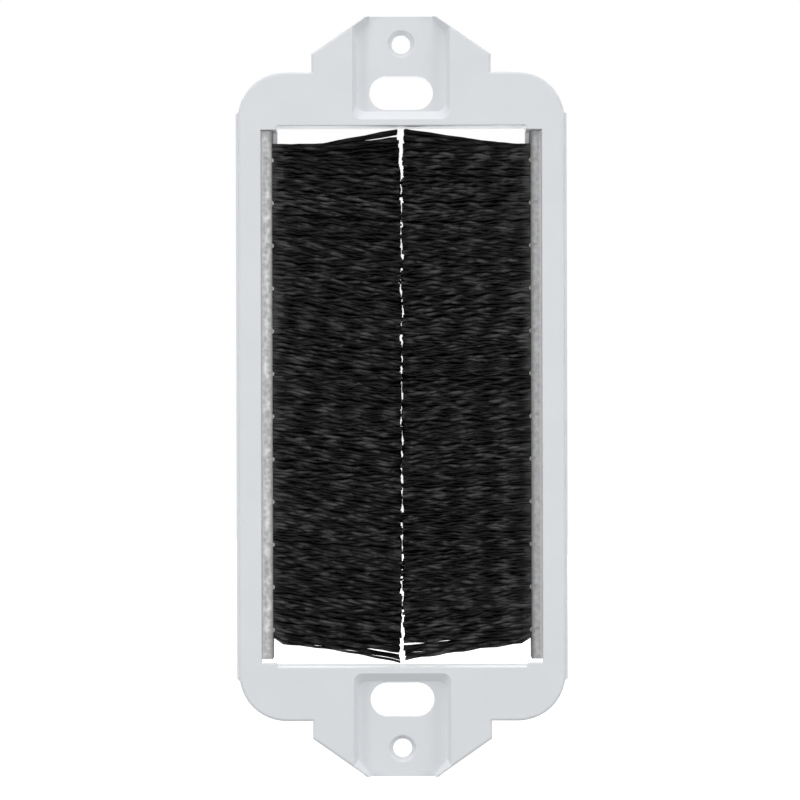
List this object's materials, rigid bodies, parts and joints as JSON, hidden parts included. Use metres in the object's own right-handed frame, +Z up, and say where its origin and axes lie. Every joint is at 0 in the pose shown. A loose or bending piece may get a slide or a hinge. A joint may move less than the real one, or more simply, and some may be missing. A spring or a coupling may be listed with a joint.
{
  "type": "brush cable grommet",
  "caption": "Upright moulded frame with facing strip brushes that close over cables passing through a wall box, fixed by screw slots and small holes in its ears.",
  "frame": {"origin": "middle of the screw pattern, on the back face of the plate that lies against the wall box", "axes": "+Z up along the frame's long side, +X across it, -Y out of the front face"},
  "size_m": [0.0454, 0.0048, 0.1042],
  "materials": {
    "frame_plastic": "moulded, fine satin, off-white",
    "channel_metal": "galvanised sheet, dull and mottled",
    "core_wire_metal": "plain drawn wire",
    "bristle_nylon": "black crimped filament"
  },
  "bodies": {
    "root": {"frame": "frame_plastic", "left_channel": "channel_metal", "right_channel": "channel_metal", "left_core_wire": "core_wire_metal", "right_core_wire": "core_wire_metal", "left_bristles": "bristle_nylon", "right_bristles": "bristle_nylon"}
  },
  "joints": []
}
